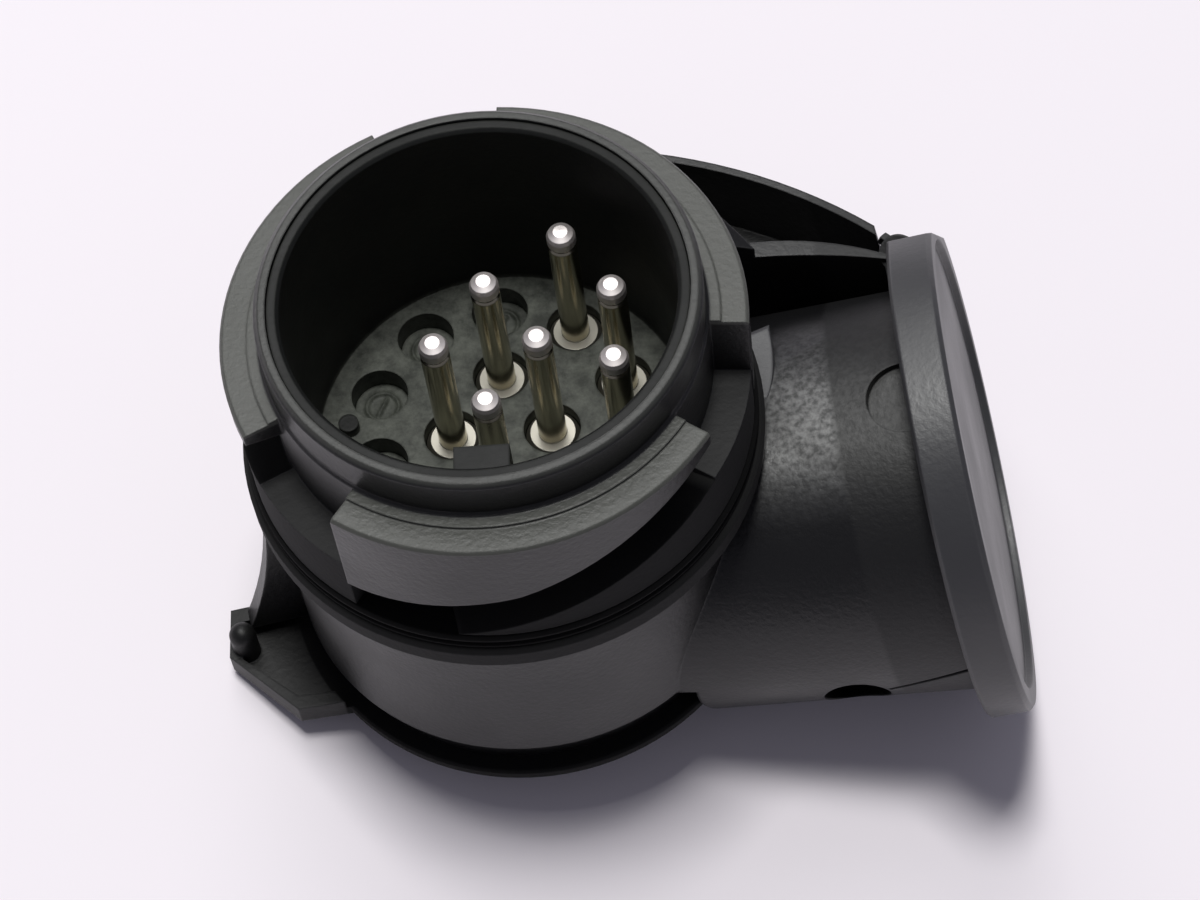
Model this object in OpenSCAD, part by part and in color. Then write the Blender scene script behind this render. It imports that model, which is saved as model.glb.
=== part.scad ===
// Trailer plug adapter: thirteen-pole bayonet plug with seven fitted pins and a lidded seven-pole socket.
// Drawn in millimetres, at rest on a table: on the edge of the end cap and the lower rim of the closed lid.
// Inside rest() the plug stands upright on Z and the socket barrel points along X, slightly upwards.

/* [Plug] */
// Height of the plug rim above the end cap
rim_z = 57.7; // [56.5:0.1:59]
// Outer radius of the plug sleeve
sleeve_r = 22.9; // [22.7:0.05:23.1]
// Radius over the bayonet lugs
lug_r = 27.25; // [26.5:0.05:27.6]
// Angle covered by one bayonet lug
lug_span = 91; // [84:1:96]
// Slope of the ramp below each lug at its closed end
ramp_slope = 11.2; // [9:0.1:13]
// Steeper slope towards the lug's open end
entry_slope = 19.9; // [17:0.1:21]
// Radius of the collar flange
flange_r = 28.1; // [27.8:0.1:28.6]
// Radius of the upright body
body_r = 26; // [25.6:0.1:26.4]

/* [Contact insert] */
// Height of the contact floor
floor_z = 29.7; // [29:0.1:30.5]
// Inner radius of the cup
cup_r = 20.3; // [20:0.05:20.5]
// Radius of one contact hole
hole_r = 3.1; // [3.05:0.05:3.2]
// Radius of one contact pin
pin_r = 1.55; // [1.4:0.05:1.65]
// Height of the pin tips
pin_tip_z = 48.4; // [46:0.1:50]
// Width of the key rib inside the cup
key_w = 5.6; // [4.5:0.1:6]

/* [Socket barrel] */
// Angle by which the barrel rises from the plane of the end cap
barrel_el = 10.1; // [9.5:0.1:10.8]
// Outer radius of the barrel near the body
barrel_r = 21.45; // [21.3:0.05:21.6]
// Inner radius of the barrel
socket_r = 18.7; // [18.5:0.05:18.9]
// Distance of the barrel mouth from the plug axis
mouth_s = 50.3; // [50:0.1:50.6]
// Radius of the contact tower in the socket
tower_r = 14.2; // [13.6:0.1:14.4]

/* [Lid] */
// Radius of the lid
lid_r = 28; // [27.6:0.1:28.4]
// Depth of the lid rim
lid_depth = 5; // [4.6:0.1:5.4]
// Radius of the hinge pin
hinge_r = 1.1; // [0.9:0.05:1.2]
// Angle of the hinge side round the barrel
hinge_angle = 31; // [28:1:34]

/* [Hidden] */
$fn = 96;
over = 1;

// Resting position
rest_tilt = 11.053;
rest_roll = -7.838;
rest_x = -11.142;
rest_y = -7.486;
rest_z = 6.213;

// Upright body and collar
base_z = 1.7;
neck_r = 24.8;
groove_top = 5.4;
flange_low = 29.6;
flange_top = 32.6;
edge = 0.4;
chamber_r = 23.4;
shoulder_z = 27.5;
bore_r = 21.63;
core_r = 10;
sleeve_step = 0.3;
sleeve_root_r = sleeve_r + sleeve_step;

// Bayonet lugs
lug_top = 52.5;
lug_low = 38;
lug_start = -8;
ramp_z = 43.1;
entry_z = 43.5;
lug_root_r = sleeve_r - 0.5;
lug_step_r = 24.4;
wall_r = lug_r - 0.15;
wall_low = 34.8;
wall_top = 43;
groove_z = 37.35;
groove_slope = 15;
groove_gap = 0.5;

// Collar seal
seal_r = 27.5;
seal_in_r = sleeve_root_r + 0.02;
seal_top = 34.6;

// Contact insert
insert_r = 21.55;
insert_flange_r = 22.5;
insert_rim_z = rim_z - 0.3;
floor_low = 23.7;
insert_flange_low = 24.2;
insert_flange_top = 27.2;
outer_hole_ring = 14;
inner_holes = [[0, 5.8], [5.4, -1.4], [-5.4, -1.4], [0, -8.6]];
fitted_angles = [54, 18, 342];
empty_angles = [90, 126, 162, 198, 234, 306];
pattern_turn = -3;
pattern_x = -0.2;
pattern_y = 1.8;
blind_depth = 4.2;
pin_seat_r = 2.95;
pin_seat_top = 28.9;
tail_r = 1.2;
tail_z = 15.5;
key_in = 17;
nub_r = 1.1;
retainer_r = 21.2;
retainer_low = 21.7;
ring_in_r = 21.8;
ring_low = 21.4;
ring_top = 23.9;

// End cap
cap_r = 26.9;
cap_t = 1.6;
spigot_r = 23.3;
spigot_in_r = 21.6;
spigot_top = 5.6;
ear_h = 3;
peg_r = 1.5;
peg_x = -32.9;
peg_y = -7.7;
peg_top = 7;

// Brace above the ear of the cap
brace_t = 2.3;
brace_angle = 188;
brace_sweep = 70;
brace_low = 3.2;

// Socket barrel
barrel_z = 2.6;
barrel_back = 8;
groove_clear_r = 27.3;
back_wall_r = 29.3;
back_roof = 7.4;
belly_x = 27;
belly_z = -9.5;
belly_slope = 9.9;
seat_s = 36;
seat_r = 15.5;
barrel_s = 20;
barrel_flare = 2.67;
barrel_lean = 3.81;
barrel_lean_angle = -60;
barrel_offset = -0.15;
window_r = 4.1;
window_deep = 1.5;
window_out = 26;
window_angle = 186.5;
window_s = 47.4;
notch_r = 3.75;
notch_at = [7.9, -19.9, 34.4];
notch_angle = -115;
notch_deep = 5;
slit_w = 0.6;
slit_r = 23;
slit_s = 42.7;
slit_angle = -82;
slit_turn = 23;
slit_back = 4.9;
slit_front = 9;

// Hinge web beside the barrel
wing_r = 60;
wing_x = 2.3;
wing_y = -20.5;
wing_left_r = 29;
wing_left_x = 30;
wing_left_y = 14;
wing_low = 12;
wing_top = 26.4;
wing_wall = 0.9;
wing_in_x = 26;
wing_in_y = -47.6;
wing_in_r = 69;
wing_end = 46;
pocket_in_x = 28.7;
pocket_in_y = -10.1;
pocket_in_r = 33.4;
pocket_floor = 16;
deck_r = 36.2;
deck_top = 29.3;
deck_slope_x = 26;
deck_slope = 22.5;

// Socket insert
carrier_r = 18.6;
carrier_base_top = 39;
tower_s = 45;
tube_r = 3.1;
tube_in_r = 2.45;
tube_ring = 9.4;
tube_s0 = 31.5;
tube_s1 = 44;

// Lid and hinge
lid_face = mouth_s + 2.7;
lid_back = lid_face - lid_depth;
lid_plate = mouth_s + 0.8;
lid_in_r = lid_r - 1.5;
lid_seal_r = 21.6;
lid_flat = 26;
recess_r = lid_r - 2.4;
recess_deep = 0.8;
hinge_u = 3.1;
hinge_v = 24.9;
hinge_s = 48.5;
knuckle_r = 2.1;
web_half = 1.7;
ear_root_v = 17.5;
ear_out = 6.1;
ear_in = 4.1;
ear_end = 0.4;
ear_room = 0.5;
knuckle_out = 3.8;
knuckle_in = 2;
pin_gap = 0.06;
swing_r = 4.95;
swing_in_r = 2.75;
swing_back = 2.1;
coil_r = 1.65;
wire_r = 0.25;
coil_turns = 5;
coil_half = 1.6;
coil_steps = 20;
wire_sides = 6;

// Where the fitted contacts stand on the insert
function ring_point(a) = [outer_hole_ring * cos(a), outer_hole_ring * sin(a)];
function turned(p) = [
    pattern_x + p[0] * cos(pattern_turn) - p[1] * sin(pattern_turn),
    pattern_y + p[0] * sin(pattern_turn) + p[1] * cos(pattern_turn)
];
fitted = [for (p = concat([for (a = fitted_angles) ring_point(a)], inner_holes)) turned(p)];
empty = [for (a = empty_angles) turned(ring_point(a))];
// Where the contact sleeves stand in the socket
sleeves = concat([[0, 0]], [for (i = [0 : 5]) [tube_ring * cos(60 * i), tube_ring * sin(60 * i)]]);

// Puts the upright drawing on the table
module rest() {
    translate([rest_x, rest_y, rest_z])
        rotate([rest_roll, -rest_tilt, 0])
            children();
}

// Puts a piece drawn along Z on the barrel axis
module on_barrel() {
    translate([0, 0, barrel_z])
        rotate([0, 90 - barrel_el, 0])
            children();
}

// Turns a piece on the barrel to its hinge side
module on_hinge_side() {
    on_barrel()
        rotate([0, 0, hinge_angle])
            children();
}

// Lies a cylinder on the hinge line, from a to b measured from the hinge's middle
module hinge_rod(radius, a, b) {
    translate([hinge_u + a, hinge_v, hinge_s])
        rotate([0, 90, 0])
            cylinder(r = radius, h = b - a);
}

// All that lies below a sloping plane, within reach of the sleeve
module below_slope(height, slope) {
    translate([0, 0, height])
        rotate([slope, 0, 0])
            translate([-40, -40, -25])
                cube([80, 80, 25]);
}

// The part of the space round the sleeve that is covered by one lug
module lug_sector(start, low, high) {
    intersection() {
        rotate([0, 0, start])
            translate([-40, 0, low])
                cube([80, 40, high - low]);
        rotate([0, 0, start + lug_span])
            translate([-40, -40, low])
                cube([80, 40, high - low]);
    }
}

// One bayonet lug, cut from a ring, with a ramp of two slopes below it
module lug(start) {
    difference() {
        intersection() {
            rotate_extrude()
                polygon([
                    [lug_root_r, lug_low],
                    [lug_r, lug_low],
                    [lug_r, lug_top - 0.6],
                    [lug_r - 0.3, lug_top - 0.3],
                    [lug_step_r, lug_top - 0.3],
                    [lug_step_r, lug_top],
                    [lug_root_r, lug_top]
                ]);
            lug_sector(start, lug_low - over, lug_top + over);
        }
        rotate([0, 0, start + lug_span / 2]) {
            below_slope(ramp_z, ramp_slope);
            below_slope(entry_z, entry_slope);
        }
    }
}

// Wall round the foot of the sleeve, full height between the lugs and sunk below each lug as a ramp
module groove_wall() {
    difference() {
        rotate_extrude()
            polygon([
                [lug_root_r, wall_low],
                [wall_r, wall_low],
                [wall_r, wall_top],
                [lug_root_r, wall_top]
            ]);
        for (i = [0 : 2])
            intersection() {
                lug_sector(lug_start + 120 * i + groove_gap, flange_top, lug_top);
                rotate([0, 0, lug_start + 120 * i + lug_span / 2])
                    translate([0, 0, groove_z])
                        rotate([groove_slope, 0, 0])
                            translate([-40, -40, 0])
                                cube([80, 80, 30]);
            }
    }
}

// Upright body, collar and sleeve as one turned solid
module upright_solid() {
    rotate_extrude()
        polygon([
            [core_r, base_z],
            [neck_r, base_z],
            [neck_r, groove_top],
            [body_r - edge, groove_top],
            [body_r, groove_top + edge],
            [body_r, flange_low],
            [flange_r - edge, flange_low],
            [flange_r, flange_low + edge],
            [flange_r, flange_top - edge],
            [flange_r - edge, flange_top],
            [sleeve_root_r, flange_top],
            [sleeve_root_r, lug_top + 0.1],
            [sleeve_r, lug_top + 0.1 + sleeve_step],
            [sleeve_r, rim_z - 0.5],
            [sleeve_r - 0.5, rim_z],
            [core_r, rim_z]
        ]);
}

// Chamber and sleeve bore, cut from the upright solid
module upright_bore() {
    rotate_extrude()
        polygon([
            [0, base_z - over],
            [chamber_r, base_z - over],
            [chamber_r, shoulder_z],
            [bore_r, shoulder_z],
            [bore_r, rim_z + over],
            [0, rim_z + over]
        ]);
}

// Barrel outside, flared towards the mouth and leaning to the side that faces away from the hinge
module barrel_solid() {
    difference() {
        on_barrel()
            intersection() {
                rotate([0, 0, barrel_lean_angle])
                    translate([barrel_offset, 0, barrel_s])
                        rotate([0, barrel_lean, 0])
                            translate([0, 0, barrel_back - barrel_s])
                                cylinder(
                                    r1 = barrel_r - (barrel_s - barrel_back) * tan(barrel_flare),
                                    r2 = barrel_r + (mouth_s + 10 - barrel_s) * tan(barrel_flare),
                                    h = mouth_s + 10 - barrel_back
                                );
                cylinder(r = 40, h = mouth_s);
            }
        translate([0, 0, groove_top - 40])
            cylinder(r = groove_clear_r, h = 40);
        translate([belly_x, 0, belly_z])
            rotate([0, belly_slope, 0])
                translate([-10, -30, -20])
                    cube([40, 60, 20]);
    }
}

// Barrel bore, which opens into the chamber above the back wall
module barrel_bore() {
    difference() {
        on_barrel() {
            translate([0, 0, barrel_back])
                cylinder(r = seat_r, h = mouth_s - barrel_back);
            translate([0, 0, seat_s])
                cylinder(r = socket_r, h = mouth_s - seat_s + over);
        }
        translate([0, 0, back_roof - 40])
            cylinder(r = back_wall_r, h = 40);
    }
}

// Round recess near the barrel mouth, and a notch low on the side with a slit to the mouth
module barrel_marks() {
    on_barrel() {
        rotate([0, 0, window_angle])
            translate([barrel_r - window_deep + 0.5, 0, window_s])
                rotate([0, 90, 0])
                    cylinder(r = window_r, h = window_out - barrel_r);
        translate(notch_at)
            rotate([0, 0, notch_angle])
                rotate([0, 90, 0])
                    translate([0, 0, -notch_deep])
                        cylinder(r = notch_r, h = notch_deep + 8);
        rotate([0, 0, slit_angle])
            translate([slit_r, 0, slit_s])
                rotate([slit_turn, 0, 0])
                    translate([0, -slit_w / 2, -slit_back])
                        cube([4, slit_w, slit_back + slit_front]);
    }
}

// Room that the lid's knuckles and its edge need round the hinge line
module hinge_room() {
    on_hinge_side() {
        hinge_rod(knuckle_r + 0.35, -ear_in, ear_in);
        translate([hinge_u - ear_in, hinge_v - web_half - 0.4, hinge_s])
            cube([2 * ear_in, 8, 8]);
        difference() {
            intersection() {
                hinge_rod(swing_r, -ear_out - 1, ear_out + 4);
                translate([-10, hinge_v, hinge_s - swing_back])
                    cube([30, 8, 12]);
            }
            hinge_rod(swing_in_r, -ear_out - 2, -ear_in);
        }
    }
}

// Web between the collar and the hinge, with a pocket and a deck that slopes to its inner wall
module wing() {
    difference() {
        intersection() {
            translate([wing_x, wing_y, wing_low])
                cylinder(r = wing_r, h = deck_top - wing_low);
            translate([wing_left_x, wing_left_y, wing_low - over])
                cylinder(r = wing_left_r, h = deck_top - wing_low + 2 * over);
            translate([0, 0, wing_low - over])
                cube([wing_end, 60, deck_top - wing_low + 2 * over]);
        }
        translate([wing_in_x, wing_in_y, wing_low - over])
            cylinder(r = wing_in_r, h = deck_top - wing_low + 2 * over);
        difference() {
            union() {
                translate([0, 0, wing_top])
                    cube([60, 60, 10]);
                difference() {
                    translate([wing_x, wing_y, pocket_floor])
                        cylinder(r = wing_r - wing_wall, h = 14);
                    translate([pocket_in_x, pocket_in_y, pocket_floor - over])
                        cylinder(r = pocket_in_r, h = 16);
                    translate([wing_end - wing_wall, -20, pocket_floor - over])
                        cube([40, 60, 16]);
                }
            }
            translate([0, 0, pocket_floor - 2 * over])
                cylinder(r = deck_r, h = 30);
        }
        intersection() {
            translate([0, 0, wing_top])
                cube([60, 60, 10]);
            translate([deck_slope_x, 0, deck_top])
                rotate([0, deck_slope, 0])
                    cube([40, 60, 20]);
        }
        hinge_room();
    }
}

// Hinge ears on the barrel
module hinge_ears() {
    on_hinge_side() {
        for (u = [-ear_out, ear_in]) {
            hinge_rod(knuckle_r, u, u + ear_out - ear_in);
            translate([hinge_u + u, ear_root_v, hinge_s - web_half])
                cube([ear_out - ear_in, hinge_v - ear_root_v, 2 * web_half]);
        }
    }
}

// Concave brace between the collar and the ear of the cap
module brace() {
    rotate([0, 0, brace_angle])
        difference() {
            translate([body_r - 2, -brace_t / 2, brace_low])
                cube([10.5, brace_t, flange_low - brace_low + 0.3]);
            translate([flange_r - 0.6 + brace_sweep, brace_t, flange_low])
                rotate([90, 0, 0])
                    cylinder(r = brace_sweep, h = 2 * brace_t);
        }
}

module housing() {
    color([0.10, 0.10, 0.11])
        rest()
            difference() {
                union() {
                    upright_solid();
                    barrel_solid();
                    for (i = [0 : 2])
                        lug(lug_start + 120 * i);
                    groove_wall();
                    wing();
                    hinge_ears();
                    brace();
                }
                upright_bore();
                barrel_bore();
                barrel_marks();
                on_hinge_side()
                    hinge_rod(hinge_r, ear_end - ear_out, ear_out + over);
            }
}

// Cup with its floor, key rib and flange
module contact_insert() {
    color([0.12, 0.12, 0.12])
        rest()
            difference() {
                union() {
                    rotate_extrude()
                        polygon([
                            [0, floor_low],
                            [insert_r, floor_low],
                            [insert_r, insert_flange_low],
                            [insert_flange_r, insert_flange_low],
                            [insert_flange_r, insert_flange_top],
                            [insert_r, insert_flange_top],
                            [insert_r, insert_rim_z - edge],
                            [insert_r - edge, insert_rim_z],
                            [cup_r + edge, insert_rim_z],
                            [cup_r, insert_rim_z - edge],
                            [cup_r, floor_z],
                            [0, floor_z]
                        ]);
                    rotate([0, 0, pattern_turn])
                        translate([-key_w / 2, -cup_r - 0.5, floor_z - over])
                            cube([key_w, cup_r + 0.5 - key_in, insert_rim_z - 1.5 - floor_z + over]);
                    rotate([0, 0, 170])
                        translate([key_in, 0, floor_z - over])
                            cylinder(r = nub_r, h = over + 1.2);
                }
                for (p = fitted)
                    translate([p[0], p[1], floor_low - over])
                        cylinder(r = hole_r, h = floor_z - floor_low + 2 * over);
                for (p = empty)
                    translate([p[0], p[1], floor_z - blind_depth])
                        cylinder(r = hole_r, h = blind_depth + over);
            }
}

// Contact pin with a domed tip, a seat that fills its hole and a tail
module plug_pin(i) {
    color([0.78, 0.75, 0.68])
        rest()
            translate([fitted[i][0], fitted[i][1], 0])
                rotate_extrude()
                    polygon([
                        [0, tail_z],
                        [tail_r, tail_z],
                        [tail_r, floor_low],
                        [pin_seat_r, floor_low],
                        [pin_seat_r, pin_seat_top - 0.7],
                        [pin_seat_r - 0.5, pin_seat_top],
                        [pin_r, pin_seat_top],
                        [pin_r, pin_tip_z - 2.6],
                        [pin_r - 0.25, pin_tip_z - 2.4],
                        [pin_r - 0.25, pin_tip_z - 2.1],
                        [pin_r, pin_tip_z - 1.9],
                        [pin_r, pin_tip_z - 0.9],
                        [pin_r * 0.87, pin_tip_z - 0.45],
                        [pin_r * 0.5, pin_tip_z - 0.1],
                        [0, pin_tip_z]
                    ]);
}

// Plate behind the floor that holds the pins
module pin_retainer() {
    color([0.18, 0.18, 0.18])
        rest()
            difference() {
                translate([0, 0, retainer_low])
                    cylinder(r = retainer_r, h = floor_low - retainer_low);
                for (p = fitted)
                    translate([p[0], p[1], retainer_low - over])
                        cylinder(r = tail_r + 0.05, h = floor_low - retainer_low + 2 * over);
            }
}

// Ring pressed into the chamber below the insert
module retaining_ring() {
    color([0.25, 0.25, 0.25])
        rest()
            rotate_extrude()
                polygon([
                    [ring_in_r, ring_low],
                    [chamber_r, ring_low],
                    [chamber_r, ring_top],
                    [ring_in_r, ring_top]
                ]);
}

// Rubber seal with two lips on the collar
module seal_ring() {
    color([0.05, 0.05, 0.05])
        rest()
            rotate_extrude()
                polygon([
                    [seal_in_r, flange_top],
                    [seal_r - 0.3, flange_top],
                    [seal_r, flange_top + 0.3],
                    [seal_r, flange_top + 0.6],
                    [seal_r - 0.8, flange_top + 1],
                    [seal_r, flange_top + 1.4],
                    [seal_r, seal_top - 0.3],
                    [seal_r - 0.3, seal_top],
                    [seal_in_r, seal_top]
                ]);
}

// Disc below the body, with a spigot in the chamber and a walled ear with a peg
module end_cap() {
    color([0.09, 0.09, 0.09])
        rest() {
            difference() {
                union() {
                    rotate_extrude()
                        polygon([
                            [0, 0],
                            [cap_r - 0.3, 0],
                            [cap_r, 0.3],
                            [cap_r, cap_t - 0.3],
                            [cap_r - 0.3, cap_t],
                            [spigot_r, cap_t],
                            [spigot_r, spigot_top],
                            [spigot_in_r, spigot_top],
                            [spigot_in_r, cap_t],
                            [0, cap_t]
                        ]);
                    linear_extrude(ear_h)
                        polygon([
                            [-21.2, -16.2],
                            [-27.3, -16.5],
                            [-34.8, -9],
                            [-34.5, -3],
                            [-26, -2]
                        ]);
                }
                translate([0, 0, cap_t])
                    linear_extrude(ear_h)
                        polygon([
                            [-21, -14.7],
                            [-27.2, -14.8],
                            [-33.3, -9.4],
                            [-33.1, -4.6],
                            [-26, -3.6],
                            [-20, -3.6]
                        ]);
                difference() {
                    translate([0, 0, cap_t])
                        cylinder(r = groove_clear_r, h = ear_h);
                    translate([0, 0, cap_t - over])
                        cylinder(r = spigot_r, h = ear_h + 2 * over);
                }
            }
            translate([peg_x, peg_y, 0]) {
                cylinder(r = peg_r, h = peg_top - peg_r);
                translate([0, 0, peg_top - peg_r])
                    sphere(r = peg_r);
            }
        }
}

// Contact tower of the socket on its base
module socket_insert() {
    color([0.13, 0.13, 0.14])
        rest()
            on_barrel()
                difference() {
                    union() {
                        translate([0, 0, seat_s])
                            cylinder(r = carrier_r, h = carrier_base_top - seat_s);
                        translate([0, 0, carrier_base_top - over])
                            cylinder(r = tower_r, h = tower_s - carrier_base_top + over);
                    }
                    for (p = sleeves)
                        translate([p[0], p[1], seat_s - over])
                            cylinder(r = tube_r + 0.05, h = tower_s - seat_s + 2 * over);
                }
}

// Contact sleeve of the socket
module socket_sleeve(i) {
    color([0.80, 0.72, 0.45])
        rest()
            on_barrel()
                translate([sleeves[i][0], sleeves[i][1], 0])
                    rotate_extrude()
                        polygon([
                            [0, tube_s0],
                            [tube_r - 1, tube_s0],
                            [tube_r - 1, seat_s],
                            [tube_r, seat_s],
                            [tube_r, tube_s1 - 0.4],
                            [tube_r - 0.3, tube_s1],
                            [tube_in_r, tube_s1],
                            [tube_in_r, seat_s + 1],
                            [0, seat_s + 1]
                        ]);
}

// Lid with its rim, recessed face and two hinge knuckles
module lid() {
    color([0.14, 0.14, 0.15])
        rest()
            on_hinge_side()
                difference() {
                    union() {
                        difference() {
                            rotate_extrude()
                                polygon([
                                    [0, lid_plate],
                                    [lid_in_r, lid_plate],
                                    [lid_in_r, lid_back],
                                    [lid_r - edge, lid_back],
                                    [lid_r, lid_back + edge],
                                    [lid_r, lid_face - 0.5],
                                    [lid_r - 0.5, lid_face],
                                    [recess_r, lid_face],
                                    [recess_r - 0.2, lid_face - recess_deep],
                                    [0, lid_face - recess_deep]
                                ]);
                            translate([-lid_r, lid_flat, lid_back - over])
                                cube([2 * lid_r, lid_r, lid_depth + 2 * over]);
                            translate([hinge_u - ear_out - ear_room, hinge_v - 3, lid_back - over])
                                cube([2 * (ear_out + ear_room), 6, lid_plate + 0.2 - lid_back + over]);
                        }
                        for (u = [-knuckle_out, knuckle_in]) {
                            hinge_rod(knuckle_r, u, u + knuckle_out - knuckle_in);
                            translate([hinge_u + u, hinge_v - web_half, hinge_s])
                                cube([knuckle_out - knuckle_in, lid_flat - hinge_v + web_half,
                                    lid_plate - hinge_s + 0.5]);
                        }
                    }
                    hinge_rod(hinge_r + pin_gap, -ear_out, ear_out);
                }
}

// Flat rubber ring on the inside of the lid
module lid_seal() {
    color([0.05, 0.05, 0.05])
        rest()
            on_hinge_side()
                rotate_extrude()
                    polygon([
                        [socket_r - 1, mouth_s + 0.25],
                        [lid_seal_r, mouth_s + 0.25],
                        [lid_seal_r, lid_plate],
                        [socket_r - 1, lid_plate]
                    ]);
}

module hinge_pin() {
    color([0.70, 0.71, 0.72])
        rest()
            on_hinge_side()
                hinge_rod(hinge_r, ear_end - ear_out, ear_out);
}

// Points of one wire section of the spring, i of all the sections
function coil_angle(i) = 360 * i / coil_steps;
function coil_u(i) = hinge_u - coil_half + 2 * coil_half * i / (coil_steps * coil_turns);
function wire_point(i, k) =
    let (a = coil_angle(i), b = 360 * k / wire_sides, q = coil_r + wire_r * cos(b))
    [coil_u(i) + wire_r * sin(b), hinge_v + q * cos(a), hinge_s + q * sin(a)];

// Torsion spring coiled on the hinge pin between the knuckles
module lid_spring() {
    last = coil_steps * coil_turns;
    points = [for (i = [0 : last], k = [0 : wire_sides - 1]) wire_point(i, k)];
    sides = [for (i = [0 : last - 1], k = [0 : wire_sides - 1])
        [i * wire_sides + k, i * wire_sides + (k + 1) % wire_sides,
            (i + 1) * wire_sides + (k + 1) % wire_sides, (i + 1) * wire_sides + k]];
    first_end = [[for (k = [0 : wire_sides - 1]) wire_sides - 1 - k]];
    last_end = [[for (k = [0 : wire_sides - 1]) last * wire_sides + k]];
    color([0.62, 0.63, 0.65])
        rest()
            on_hinge_side()
                polyhedron(points, concat(first_end, sides, last_end));
}

housing();
contact_insert();
plug_pin(0);  // plug_pin_1
plug_pin(1);  // plug_pin_2
plug_pin(2);  // plug_pin_3
plug_pin(3);  // plug_pin_4
plug_pin(4);  // plug_pin_5
plug_pin(5);  // plug_pin_6
plug_pin(6);  // plug_pin_7
pin_retainer();
retaining_ring();
seal_ring();
end_cap();
socket_insert();
socket_sleeve(0);  // socket_sleeve_1
socket_sleeve(1);  // socket_sleeve_2
socket_sleeve(2);  // socket_sleeve_3
socket_sleeve(3);  // socket_sleeve_4
socket_sleeve(4);  // socket_sleeve_5
socket_sleeve(5);  // socket_sleeve_6
socket_sleeve(6);  // socket_sleeve_7
lid();
lid_seal();
hinge_pin();
lid_spring();
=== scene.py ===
# %% [markdown]
# # Trailer plug adapter, rebuilt from one photo
#
# A bayonet plug stands upright beside a slanted socket barrel with a closed round lid. The adapter lies
# on a pale table and the camera looks down steeply into the cup with its seven nickel pins.
#
# The notebook has these steps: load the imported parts, build the finishes, add the fine moulded detail
# that only shows up close, and set the table, the light and the camera of the photo.

import bpy
import numpy as np
from mathutils import Matrix, Vector


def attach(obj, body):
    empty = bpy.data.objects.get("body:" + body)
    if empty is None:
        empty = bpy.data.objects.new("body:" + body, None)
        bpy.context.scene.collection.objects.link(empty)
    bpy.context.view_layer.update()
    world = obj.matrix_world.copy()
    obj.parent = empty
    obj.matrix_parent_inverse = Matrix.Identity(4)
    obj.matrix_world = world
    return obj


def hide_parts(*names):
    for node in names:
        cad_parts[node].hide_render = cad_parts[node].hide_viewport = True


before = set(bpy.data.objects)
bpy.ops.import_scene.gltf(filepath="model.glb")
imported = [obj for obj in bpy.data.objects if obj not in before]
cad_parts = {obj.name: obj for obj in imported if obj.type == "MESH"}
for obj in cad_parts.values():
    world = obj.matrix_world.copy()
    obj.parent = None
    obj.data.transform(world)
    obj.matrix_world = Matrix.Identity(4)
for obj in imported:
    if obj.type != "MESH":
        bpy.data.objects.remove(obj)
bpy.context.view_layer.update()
MM = 0.001

# %% [markdown]
# ## Where things are
#
# The plug is drawn upright and then laid on the table, so every detail here is placed in the upright
# drawing and carried over with the same turn and shift. The turn is a roll about X and a tilt about Y.

# %% The turn from the upright drawing to the table
REST_TILT = np.radians(-11.053)
REST_ROLL = np.radians(-7.838)
REST_SHIFT = np.array([-11.142, -7.486, 6.213])
TILT = np.array(
    [
        [np.cos(REST_TILT), 0.0, np.sin(REST_TILT)],
        [0.0, 1.0, 0.0],
        [-np.sin(REST_TILT), 0.0, np.cos(REST_TILT)],
    ]
)
ROLL = np.array(
    [
        [1.0, 0.0, 0.0],
        [0.0, np.cos(REST_ROLL), -np.sin(REST_ROLL)],
        [0.0, np.sin(REST_ROLL), np.cos(REST_ROLL)],
    ]
)
TURN = TILT @ ROLL


def on_table(points):
    """Points of the upright drawing in mm, turned and shifted onto the table, in metres."""
    return (np.asarray(points, float) @ TURN.T + REST_SHIFT) * MM


PLUG_AXIS = TURN @ [0.0, 0.0, 1.0]
PLUG_FOOT = on_table([0.0, 0.0, 0.0])
BARREL_RISE = np.radians(10.1)
BARREL_HEIGHT = 2.6
BARREL_AXIS = TURN @ [np.cos(BARREL_RISE), 0.0, np.sin(BARREL_RISE)]
BARREL_UP = TURN @ [-np.sin(BARREL_RISE), 0.0, np.cos(BARREL_RISE)]
BARREL_START = on_table([0.0, 0.0, BARREL_HEIGHT])
print("plug axis on the table", np.round(PLUG_AXIS, 3), "barrel axis", np.round(BARREL_AXIS, 3))

# %% [markdown]
# ## Finishes
#
# The mouldings are satin black plastic with a fine grain. Three things make plastic look real: a grain
# that breaks up the reflections, edges that are a little rounded and lighter from handling, and
# roughness that varies where hands and dust have been. All three are made once, as node groups that
# give back masks and normals, and every plastic uses them with its own values.


# %% Helpers for node trees
def new_node(tree, kind, **inputs):
    """A node of that kind with its plain settings and socket values filled in."""
    n = tree.nodes.new(kind)
    for key, value in inputs.items():
        if key.startswith("set_"):
            setattr(n, key[4:], value)
        else:
            n.inputs[key.replace("_", " ")].default_value = value
    return n


def new_group(name, sockets_in, sockets_out):
    """An empty shader node group with those float or vector sockets."""
    g = bpy.data.node_groups.new(name, "ShaderNodeTree")
    for label, kind, value in sockets_in:
        s = g.interface.new_socket(name=label, in_out="INPUT", socket_type=kind)
        if value is not None:
            s.default_value = value
    for label, kind in sockets_out:
        g.interface.new_socket(name=label, in_out="OUTPUT", socket_type=kind)
    return g, g.nodes.new("NodeGroupInput"), g.nodes.new("NodeGroupOutput")


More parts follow.
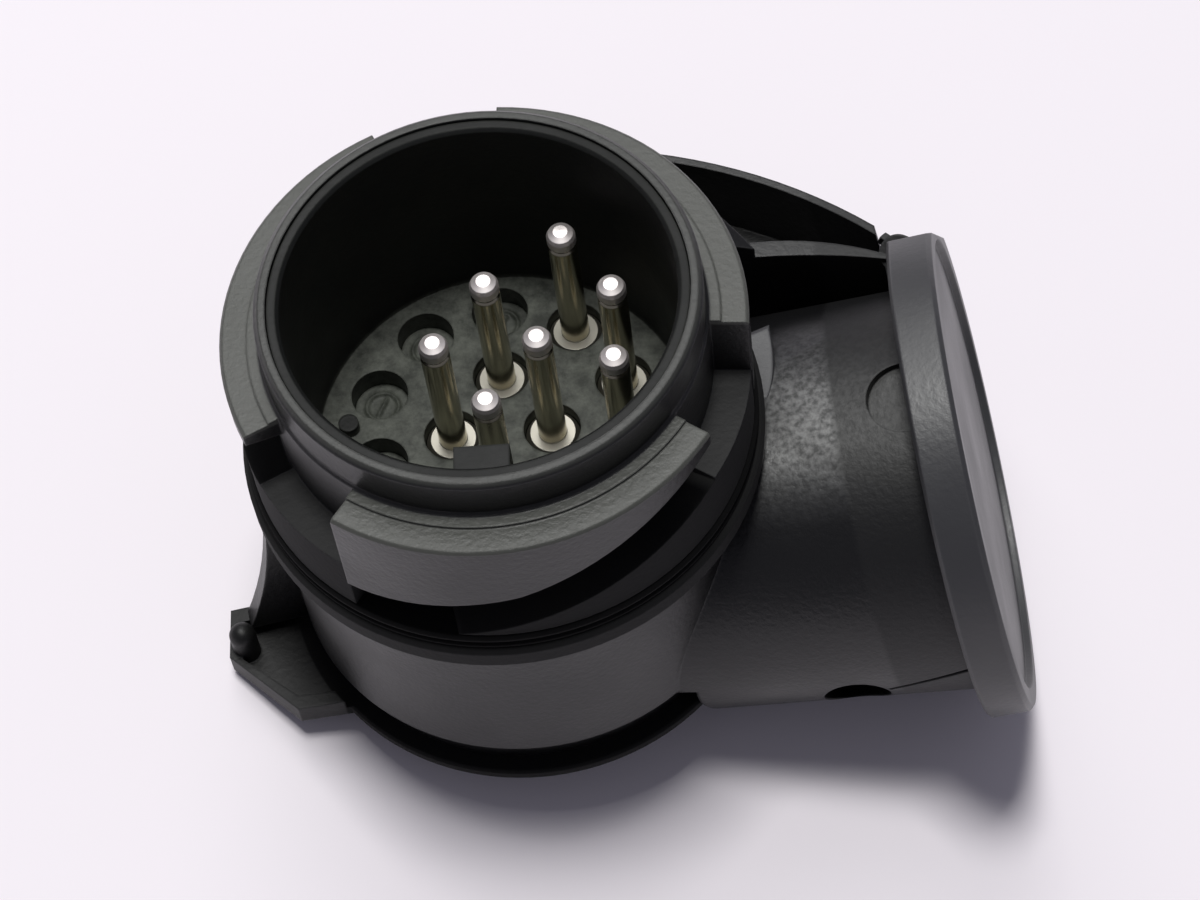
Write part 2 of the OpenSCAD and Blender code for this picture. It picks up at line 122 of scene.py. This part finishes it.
def remap(tree, value, low, high, least=0.0):
    """Least at the low value and 1 at the high one, straight in between and held beyond them."""
    ramp = tree.nodes.new("ShaderNodeMapRange")
    ramp.inputs["From Min"].default_value = low
    ramp.inputs["From Max"].default_value = high
    ramp.inputs["To Min"].default_value = least
    tree.links.new(value, ramp.inputs["Value"])
    return ramp.outputs["Result"]


def both_masks(tree, first, second):
    """1 where both masks are 1: their product."""
    both = new_node(tree, "ShaderNodeMath", set_operation="MULTIPLY")
    tree.links.new(first, both.inputs[0])
    tree.links.new(second, both.inputs[1])
    return both.outputs["Value"]


def object_noise(tree, scale, detail, rough=0.5):
    """Noise that stays on its piece, as a number round a half."""
    coord = tree.nodes.new("ShaderNodeTexCoord")
    noise = new_node(tree, "ShaderNodeTexNoise", Scale=scale, Detail=detail, Roughness=rough)
    tree.links.new(coord.outputs["Object"], noise.inputs["Vector"])
    return noise.outputs["Fac"]


def blend(tree, mask, under, over):
    """Mixes under with over where the mask is 1. Each is a colour, a number or another output."""
    kind = "FLOAT" if isinstance(over, float) else "RGBA"
    mix = new_node(tree, "ShaderNodeMix", set_data_type=kind)
    tree.links.new(mask, mix.inputs["Factor"])
    for value, socket in ((under, mix.inputs["A"]), (over, mix.inputs["B"])):
        if isinstance(value, float):
            socket.default_value = value
        elif isinstance(value, tuple):
            socket.default_value = (*value, 1.0)
        else:
            tree.links.new(value, socket)
    return mix.outputs["Result"]


# %% Moulded surface: grain, rounded edges and worn patches
GRAIN_DEPTH = 0.00006
NO_EDGE = 0.995
FULL_EDGE = 0.86
RUB_SCALE = 140.0
RUB_RANGE = (0.35, 0.65)
RUB_LEAST = 0.35
PATCH_SCALE = 55.0
PATCH_RANGE = (0.35, 0.68)


def moulded_surface():
    """Grain and edge rounding as a normal, plus masks for rubbed edges and for uneven gloss."""
    g, gin, gout = new_group(
        "moulded surface",
        [
            ("Grain Scale", "NodeSocketFloat", 1500.0),
            ("Grain Height", "NodeSocketFloat", 0.35),
            ("Edge Radius", "NodeSocketFloat", 0.00035),
        ],
        [
            ("Normal", "NodeSocketVector"),
            ("Edge", "NodeSocketFloat"),
            ("Patch", "NodeSocketFloat"),
        ],
    )
    link = g.links.new
    coord = g.nodes.new("ShaderNodeTexCoord")
    grain = new_node(g, "ShaderNodeTexNoise", Detail=3.0, Roughness=0.6)
    link(coord.outputs["Object"], grain.inputs["Vector"])
    link(gin.outputs["Grain Scale"], grain.inputs["Scale"])
    rounded = new_node(g, "ShaderNodeBevel", set_samples=4)
    link(gin.outputs["Edge Radius"], rounded.inputs["Radius"])
    bump = new_node(g, "ShaderNodeBump", Distance=GRAIN_DEPTH)
    link(gin.outputs["Grain Height"], bump.inputs["Strength"])
    link(grain.outputs["Fac"], bump.inputs["Height"])
    link(rounded.outputs["Normal"], bump.inputs["Normal"])
    link(bump.outputs["Normal"], gout.inputs["Normal"])

    # Where the rounded normal leaves the flat one, the surface is an edge
    geo = g.nodes.new("ShaderNodeNewGeometry")
    dot = new_node(g, "ShaderNodeVectorMath", set_operation="DOT_PRODUCT")
    link(rounded.outputs["Normal"], dot.inputs[0])
    link(geo.outputs["Normal"], dot.inputs[1])
    edge = remap(g, dot.outputs["Value"], NO_EDGE, FULL_EDGE)
    rubbed = remap(g, object_noise(g, RUB_SCALE, 4.0), *RUB_RANGE, RUB_LEAST)
    link(both_masks(g, edge, rubbed), gout.inputs["Edge"])
    patch = remap(g, object_noise(g, PATCH_SCALE, 5.0, 0.55), *PATCH_RANGE)
    link(patch, gout.inputs["Patch"])
    return g


MOULDED = moulded_surface()
print("moulded surface nodes", len(MOULDED.nodes))


# %% Distance along an axis and away from it
def along_axis():
    """Along: the point less the start, dotted with the axis. Away: the length of their cross product."""
    g, gin, gout = new_group(
        "along axis",
        [("Start", "NodeSocketVector", None), ("Axis", "NodeSocketVector", None)],
        [("Millimetres", "NodeSocketFloat"), ("Away", "NodeSocketFloat")],
    )
    link = g.links.new
    coord = g.nodes.new("ShaderNodeTexCoord")
    from_start = new_node(g, "ShaderNodeVectorMath", set_operation="SUBTRACT")
    link(coord.outputs["Object"], from_start.inputs[0])
    link(gin.outputs["Start"], from_start.inputs[1])
    dot = new_node(g, "ShaderNodeVectorMath", set_operation="DOT_PRODUCT")
    cross = new_node(g, "ShaderNodeVectorMath", set_operation="CROSS_PRODUCT")
    for product in (dot, cross):
        link(from_start.outputs["Vector"], product.inputs[0])
        link(gin.outputs["Axis"], product.inputs[1])
    length = new_node(g, "ShaderNodeVectorMath", set_operation="LENGTH")
    link(cross.outputs["Vector"], length.inputs[0])
    for metres, label in ((dot, "Millimetres"), (length, "Away")):
        scaled = new_node(g, "ShaderNodeMath", set_operation="MULTIPLY")
        scaled.inputs[1].default_value = 1.0 / MM
        link(metres.outputs["Value"], scaled.inputs[0])
        link(scaled.outputs["Value"], gout.inputs[label])
    return g


ALONG = along_axis()
print("along axis nodes", len(ALONG.nodes))


# %% A stretch of an axis, from 0 outside to 1 inside
def stretch_mask(tree, start, axis, span, soft=0.15, output="Millimetres"):
    """1 where the distance along the axis, or away from it, lies in the span, softly in mm."""
    place = tree.nodes.new("ShaderNodeGroup")
    place.node_tree = ALONG
    place.inputs["Start"].default_value = tuple(start)
    place.inputs["Axis"].default_value = tuple(axis)
    low, high = span
    above = remap(tree, place.outputs[output], low - soft, low + soft)
    below = remap(tree, place.outputs[output], high + soft, high - soft)
    return both_masks(tree, above, below)


def plug_band(finish, span, soft=0.15, output="Millimetres"):
    """A stretch of the plug's axis, or of the distance from it, on one finish."""
    return stretch_mask(finish.node_tree, PLUG_FOOT, PLUG_AXIS, span, soft, output)


def barrel_band(finish, span, soft=0.15, output="Millimetres"):
    """A stretch of the barrel's axis, or of the distance from it, on one finish."""
    return stretch_mask(finish.node_tree, BARREL_START, BARREL_AXIS, span, soft, output)


# %% Plastics and rubber
def plastic(name, tone, edge_tone, rough, rough_patch, grain=0.35, radius=0.00035, shine=0.5):
    """A satin moulding: base tone, a paler rubbed edge, and roughness that varies in patches."""
    m = bpy.data.materials.new(name)
    m.use_nodes = True
    t = m.node_tree
    bsdf = t.nodes["Principled BSDF"]
    s = t.nodes.new("ShaderNodeGroup")
    s.node_tree = MOULDED
    s.name = "surface"
    s.inputs["Grain Height"].default_value = grain
    s.inputs["Edge Radius"].default_value = radius
    t.links.new(blend(t, s.outputs["Edge"], tone, edge_tone), bsdf.inputs["Base Color"])
    t.links.new(blend(t, s.outputs["Patch"], rough, rough_patch), bsdf.inputs["Roughness"])
    t.links.new(s.outputs["Normal"], bsdf.inputs["Normal"])
    bsdf.inputs["Specular IOR Level"].default_value = shine
    return m


GREY = (0.055, 0.055, 0.056)
BODY = plastic("body plastic", (0.004, 0.004, 0.0045), GREY, 0.34, 0.44, 1.0, shine=0.45)
INSERT = plastic(
    "insert plastic", (0.004, 0.0045, 0.004), (0.030, 0.032, 0.027), 0.48, 0.62, 0.6, shine=0.3
)
LID = plastic("lid plastic", (0.034, 0.034, 0.037), (0.085, 0.085, 0.089), 0.38, 0.50, 0.6, shine=0.7)
RUBBER = plastic(
    "seal rubber", (0.004, 0.004, 0.004), (0.006, 0.006, 0.006), 0.85, 0.95, 0.15, shine=0.2
)
DISC = plastic("cap plastic", (0.006, 0.006, 0.006), GREY, 0.42, 0.55, 0.8, shine=0.3)
print("plastics made")

# %% [markdown]
# ## Bands round the plug
#
# One moulding carries several tones in the photo: the flange is nearly black, the groove below the lugs
# and the cap's disc are darkened as painted shade, the tops of the lugs and the rim are lighter as a
# painted highlight, and the floor of the insert is a random mottle lightened as painted light.
# Each tone is a band along the plug's axis, in mm above its foot, or a band of distance from the axis.


# %% Bands on the body, the insert and the cap
def add_band(finish, mask, tone=None, rough=None):
    """Overrides tone and roughness of a finish where the mask is 1."""
    t = finish.node_tree
    bsdf = t.nodes["Principled BSDF"]
    for socket, value in (("Base Color", tone), ("Roughness", rough)):
        if value is not None:
            before = bsdf.inputs[socket].links[0].from_socket
            t.links.new(blend(t, mask, before, value), bsdf.inputs[socket])


# Near black: the flange's own colour, and painted shade in the groove and on the cap's disc.
NEAR_BLACK_AND_SHADE_TONE = (0.003, 0.003, 0.003)
FLANGE_SPAN = (29.3, 33.0)
GROOVE_SPAN = (33.0, 43.0)
GROOVE_RADII = (20.0, 27.18)
add_band(BODY, plug_band(BODY, FLANGE_SPAN), tone=NEAR_BLACK_AND_SHADE_TONE, rough=0.85)
# Painted shade: the groove wall below the lugs is darkened where the lugs shade it.
groove = both_masks(
    BODY.node_tree, plug_band(BODY, GROOVE_SPAN), plug_band(BODY, GROOVE_RADII, 0.02, "Away")
)
add_band(BODY, groove, tone=NEAR_BLACK_AND_SHADE_TONE, rough=0.95)

# Painted highlight: the tops of the lugs and the rim are lightened where light from above falls on them.
LUG_TOP_HIGHLIGHT_TONE = (0.060, 0.062, 0.055)
LUG_SPAN = (51.75, 53.0)
LUG_RADII = (23.3, 30.0)
RIM_HIGHLIGHT_TONE = (0.030, 0.031, 0.028)
RIM_SPAN = (57.4, 60.0)
lug_tops_painted_highlight = both_masks(
    BODY.node_tree, plug_band(BODY, LUG_SPAN, 0.1), plug_band(BODY, LUG_RADII, 0.1, "Away")
)
add_band(BODY, lug_tops_painted_highlight, tone=LUG_TOP_HIGHLIGHT_TONE)
add_band(BODY, plug_band(BODY, RIM_SPAN, 0.1), tone=RIM_HIGHLIGHT_TONE)

# The insert's floor is a random mottle, lifted well above the insert's own tone as painted light on the
# upward floor.
FLOOR_DARK = (0.030, 0.033, 0.027)
FLOOR_LIGHT = (0.105, 0.112, 0.095)
FLOOR_SPAN = (20.0, 30.2)
MOTTLE_SCALE = 420.0
MOTTLE_RANGE = (0.38, 0.68)
mottle = remap(INSERT.node_tree, object_noise(INSERT.node_tree, MOTTLE_SCALE, 6.0, 0.75), *MOTTLE_RANGE)
mottle_and_painted_light = blend(INSERT.node_tree, mottle, FLOOR_DARK, FLOOR_LIGHT)
add_band(INSERT, plug_band(INSERT, FLOOR_SPAN, 0.3), tone=mottle_and_painted_light, rough=0.50)

# Painted shade: the cap's round disc, short of the ear, is darkened where it lies in shadow by the
# table.
DISC_RADII = (0.0, 27.4)
add_band(DISC, plug_band(DISC, DISC_RADII, 0.1, "Away"), tone=NEAR_BLACK_AND_SHADE_TONE, rough=0.9)
print("bands on the body, the insert and the cap")

# %% [markdown]
# ## Gleam on the barrel
#
# The barrel's first stretch, from the collar to a faint step, has a rough eroded skin. Light from above
# glances off it as a soft speckled gleam along the top, which nearly stops at the step. A clear coat
# gives that gleam. Its weight is a product of masks: the stretch before the step, the height above the
# barrel's axis, the distance from that axis, and a fine noise that makes the sparkle.

# %% Eroded stretch and the smoother one next to the lid
STEP_AT = 39.5
PAST_MOUTH = 80.0
add_band(BODY, barrel_band(BODY, (STEP_AT, PAST_MOUTH), 0.3), rough=0.52)

GLEAM_START = 12.0
GLEAM_RISE = 20.2
GLEAM_TOP = 30.0
GLEAM_SOFT = 2.6
GLEAM_PAST_STEP = 0.18
BARREL_SPAN = (8.0, 60.0)
BARREL_RADII = (15.0, 23.7)
SPECK_SCALE = 1500.0
SPECK_RANGE = (0.35, 0.65)
SPECK_LEAST = 0.35
COAT_ROUGH = 0.42
COAT_IOR = 2.3
body_tree = BODY.node_tree
before_step = barrel_band(BODY, (GLEAM_START, STEP_AT), 0.4)
gleam = remap(body_tree, before_step, 0.0, 1.0, GLEAM_PAST_STEP)
gleam_parts = (
    remap(body_tree, object_noise(body_tree, SPECK_SCALE, 2.0, 0.6), *SPECK_RANGE, SPECK_LEAST),
    stretch_mask(body_tree, BARREL_START, BARREL_UP, (GLEAM_RISE, GLEAM_TOP), GLEAM_SOFT),
    barrel_band(BODY, BARREL_SPAN, 0.4),
    barrel_band(BODY, BARREL_RADII, 0.1, "Away"),
)
for mask in gleam_parts:
    gleam = both_masks(body_tree, gleam, mask)
body_shader = body_tree.nodes["Principled BSDF"]
body_tree.links.new(gleam, body_shader.inputs["Coat Weight"])
body_shader.inputs["Coat Roughness"].default_value = COAT_ROUGH
body_shader.inputs["Coat IOR"].default_value = COAT_IOR
print("the skin changes", STEP_AT, "mm along the barrel")

# %% [markdown]
# ## Contact pins
#
# Turned brass pins with a bright nickel plate. The plate is thick and white on the head, where the
# mating contacts polish it, thinner and yellower on the shaft, and dull where the pin sits in the floor.
# The three stretches are bands along the plug's axis.

# %% Metals
METAL_SPREAD = 0.12
METAL_EDGE = 0.0001


def metal(name, tone, rough, grain=0.05):
    """Plated or plain metal with faint uneven gloss."""
    m = plastic(name, tone, tone, rough, rough + METAL_SPREAD, grain, METAL_EDGE)
    m.node_tree.nodes["Principled BSDF"].inputs["Metallic"].default_value = 1.0
    return m


HEAD_SPAN = (46.5, 50.5)
SEAT_SPAN = (17.7, 29.2)
NICKEL = metal("pin plating", (0.50, 0.46, 0.34), 0.16)
add_band(NICKEL, plug_band(NICKEL, HEAD_SPAN), tone=(0.96, 0.90, 0.88), rough=0.52)
add_band(NICKEL, plug_band(NICKEL, SEAT_SPAN), tone=(0.46, 0.44, 0.38), rough=0.42)
BRASS = metal("brass", (0.72, 0.58, 0.30), 0.28)
STEEL = metal("steel", (0.60, 0.60, 0.61), 0.30)
print("metals made")

# %% Which piece has which finish
FINISH = {
    "housing": BODY,
    "contact_insert": INSERT,
    "pin_retainer": INSERT,
    "retaining_ring": BODY,
    "seal_ring": RUBBER,
    "end_cap": DISC,
    "socket_insert": INSERT,
    "lid": LID,
    "lid_seal": RUBBER,
    "hinge_pin": STEEL,
    "lid_spring": STEEL,
}
for name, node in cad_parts.items():
    finish = FINISH.get(name)
    if finish is None:
        finish = NICKEL if name.startswith("plug_pin") else BRASS
    node.data.materials.clear()
    node.data.materials.append(finish)
print("finishes assigned to", len(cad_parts), "nodes")

# %% [markdown]
# ## Fine moulded pieces
#
# Three details are too small for the working model. The insert's rim has almost no outer chamfer. Each
# empty contact hole ends in a thin web that bears a round mark and a slanted rib from the mould. Beside
# the collar a small shelf fills the corner between the barrel and the web of the hinge. The webs and the
# shelf are grids of points, so a change of one value moves the whole surface smoothly.

# %% Narrow rim of the contact insert
RIM_LOW = 56.9
RIM_R = 21.0
RIM_TOP = 57.35
RIM_INSIDE = 21.5


def narrow_rim():
    """A copy of the insert whose outer chamfer is tiny, so that no dark ring shows beside the sleeve."""
    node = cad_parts["contact_insert"]
    piece = bpy.data.objects.new("narrow_rim_insert", node.data.copy())
    bpy.context.collection.objects.link(piece)
    moved = 0
    for v in piece.data.vertices:
        upright = (np.array(v.co) / MM - REST_SHIFT) @ TURN
        radius = np.hypot(upright[0], upright[1])
        if upright[2] > RIM_LOW and radius > RIM_R:
            if upright[2] < RIM_TOP:
                upright[2] = RIM_TOP
            else:
                upright[:2] *= RIM_INSIDE / radius
            v.co = on_table(upright)
            moved += 1
    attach(piece, "insert")
    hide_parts("contact_insert")
    return moved


print("rim points moved", narrow_rim())


# %% From a grid of points to a closed piece
def piece_from_grid(name, rows, body, finish):
    """A closed skin over a grid: rows run round the piece, and the first and last row are capped."""
    count, around = rows.shape[:2]
    at = np.arange(count * around).reshape(count, around)
    after = np.roll(at, -1, axis=1)
    quads = np.stack([at[:-1], after[:-1], after[1:], at[1:]], axis=-1).reshape(-1, 4)
    faces = quads.tolist() + [at[0][::-1].tolist(), at[-1].tolist()]
    mesh = bpy.data.meshes.new(name)
    mesh.from_pydata(on_table(rows.reshape(-1, 3)).tolist(), [], faces)
    mesh.materials.append(finish)
    piece = bpy.data.objects.new(name, mesh)
    bpy.context.collection.objects.link(piece)
    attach(piece, body)
    return piece


# %% Webs in the empty holes
RING_OF_HOLES = 14.0
EMPTY_ANGLES = (90, 126, 162, 198, 234, 306)
PATTERN_TURN = np.radians(-3)
PATTERN_SHIFT = np.array([-0.2, 1.8])
WEB_TOP = 26.9
WEB_LOW = 25.3
WEB_R = 3.05
WEB_STEPS = 34
WEB_INNER = 0.05
MARK_R = 1.75
MARK_HALF = 0.22
MARK_HEIGHT = 0.4
RIB_SLANT = np.radians(62)
RIB_REACH = 1.3
RIB_FADE = 8
AROUND = 72


def web_rows(centre):
    """A disc; its top rises by the larger of a ring and a rib, and rows go from the rim to the middle.

    The ring is a bell curve of the distance from its radius. The rib is a bell curve of the distance
    from a slanted line, faded out smoothly beyond its reach along that line.
    """
    radii = np.concatenate([[WEB_R, WEB_R], np.linspace(WEB_R - WEB_INNER, WEB_INNER, WEB_STEPS)])
    angle = np.linspace(0, 2 * np.pi, AROUND, endpoint=False)
    r, a = np.meshgrid(radii, angle, indexing="ij")
    x = r * np.cos(a)
    y = r * np.sin(a)
    ring = np.exp(-(((r - MARK_R) / MARK_HALF) ** 2))
    across = x * np.sin(RIB_SLANT) - y * np.cos(RIB_SLANT)
    length = x * np.cos(RIB_SLANT) + y * np.sin(RIB_SLANT)
    rib = np.exp(-((across / MARK_HALF) ** 2)) / (1 + np.exp((np.abs(length) - RIB_REACH) * RIB_FADE))
    z = WEB_TOP + MARK_HEIGHT * np.maximum(ring, rib)
    z[0] = WEB_LOW
    z[1] = WEB_TOP
    return np.stack([centre[0] + x, centre[1] + y, z], axis=-1)


for i, degrees in enumerate(EMPTY_ANGLES):
    a = np.radians(degrees) + PATTERN_TURN
    middle = PATTERN_SHIFT + RING_OF_HOLES * np.array([np.cos(a), np.sin(a)])
    piece_from_grid(f"hole_web_{i + 1}", web_rows(middle), "insert", INSERT)
print("hole webs", len(EMPTY_ANGLES))

# %% Shelf beside the collar
SHELF_TOP = 29.75
SHELF_LOW = 24.0
SHELF_IN_R = 27.6
SHELF_START = np.radians(1.0)
SHELF_END = np.radians(19.0)
SHELF_OUT_START = 28.5
SHELF_OUT_END = 31.4
SHELF_SWELL = 0.8
SHELF_STEPS = 24
SHELF_EDGE = 0.3
SHELF_DRAWN_IN = 0.12


def shelf_rows():
    """A wedge in plan: the inner edge is the collar's arc, the outer radius grows with the angle."""
    t = np.linspace(0, 1, SHELF_STEPS)
    a = SHELF_START + (SHELF_END - SHELF_START) * t
    out = SHELF_OUT_START + (SHELF_OUT_END - SHELF_OUT_START) * t**SHELF_SWELL
    outer = np.stack([out * np.cos(a), out * np.sin(a)], axis=-1)
    inner = np.stack([SHELF_IN_R * np.cos(a), SHELF_IN_R * np.sin(a)], axis=-1)[::-1]
    plan = np.concatenate([outer, inner])
    middle = plan.mean(axis=0)
    rows = []
    for z, shrink in ((SHELF_LOW, 0.0), (SHELF_TOP - SHELF_EDGE, 0.0), (SHELF_TOP, SHELF_DRAWN_IN)):
        flat = plan + (middle - plan) * shrink
        rows.append(np.column_stack([flat, np.full(len(flat), z)]))
    return np.array(rows)


piece_from_grid("collar_shelf", shelf_rows(), "body", LID)
print("shelf from", SHELF_LOW, "to", SHELF_TOP, "mm")

# %% [markdown]
# ## Table, light and camera
#
# The photo was taken indoors on white paper. Its shadows are short with a clear edge, so the main light
# is a compact panel almost overhead. A larger and weaker panel behind it softens the dark sides, and
# the surroundings are dim and slightly blue.

# %% Table
FLOOR_SIZE = 4.0
PAPER_TONE = (0.93, 0.88, 0.93, 1.0)
PAPER_ROUGH = 0.75
bpy.ops.mesh.primitive_plane_add(size=FLOOR_SIZE, location=(0, 0, 0))
floor = bpy.context.object
floor.name = "table"
paper = bpy.data.materials.new("paper")
paper.use_nodes = True
paper_bsdf = paper.node_tree.nodes["Principled BSDF"]
paper_bsdf.inputs["Base Color"].default_value = PAPER_TONE
paper_bsdf.inputs["Roughness"].default_value = PAPER_ROUGH
floor.data.materials.append(paper)
print("table", FLOOR_SIZE, "m wide")

# %% Light
ROOM_TONE = (0.84, 0.84, 1.0, 1.0)
ROOM_STRENGTH = 0.18
LIGHT_AIM = (0, 0, 0.03)
world = bpy.data.worlds.new("room")
bpy.context.scene.world = world
world.use_nodes = True
world.node_tree.nodes["Background"].inputs["Color"].default_value = ROOM_TONE
world.node_tree.nodes["Background"].inputs["Strength"].default_value = ROOM_STRENGTH


def panel(name, place, side, power, tint):
    """A soft square light at a place, turned to the adapter."""
    data = bpy.data.lights.new(name, "AREA")
    data.shape = "RECTANGLE"
    data.size = side
    data.size_y = side
    data.energy = power
    data.color = tint
    o = bpy.data.objects.new(name, data)
    bpy.context.collection.objects.link(o)
    o.location = place
    o.rotation_mode = "QUATERNION"
    o.rotation_quaternion = (Vector(LIGHT_AIM) - Vector(place)).to_track_quat("-Z", "Y")


panel("key", (-0.40, 0.42, 2.12), 0.46, 32.0, (1.0, 1.0, 0.98))
panel("window", (-0.44, 1.36, 1.67), 1.2, 14.0, (1.0, 1.0, 0.99))
print("lights set")

# %% Camera
CAM_PLACE = (-0.06413, -0.15425, 0.37776)
CAM_RIGHT = Vector((0.9877, -0.0942, 0.1248))
CAM_BACK = Vector((-0.1521, -0.3931, 0.9068))
PHOTO_W = 1200
FOCAL_PX = 3500
SENSOR = 36.0
cam_data = bpy.data.cameras.new("camera")
cam_data.sensor_width = SENSOR
cam_data.lens = SENSOR * FOCAL_PX / PHOTO_W
cam = bpy.data.objects.new("camera", cam_data)
bpy.context.collection.objects.link(cam)
back = CAM_BACK.normalized()
right = (CAM_RIGHT - CAM_RIGHT.dot(back) * back).normalized()
up = back.cross(right)
cam.matrix_world = Matrix.Translation(CAM_PLACE) @ Matrix((right, up, back)).transposed().to_4x4()
bpy.context.scene.camera = cam
bpy.context.scene.view_settings.view_transform = "Standard"
print("lens", round(cam_data.lens, 1), "mm")
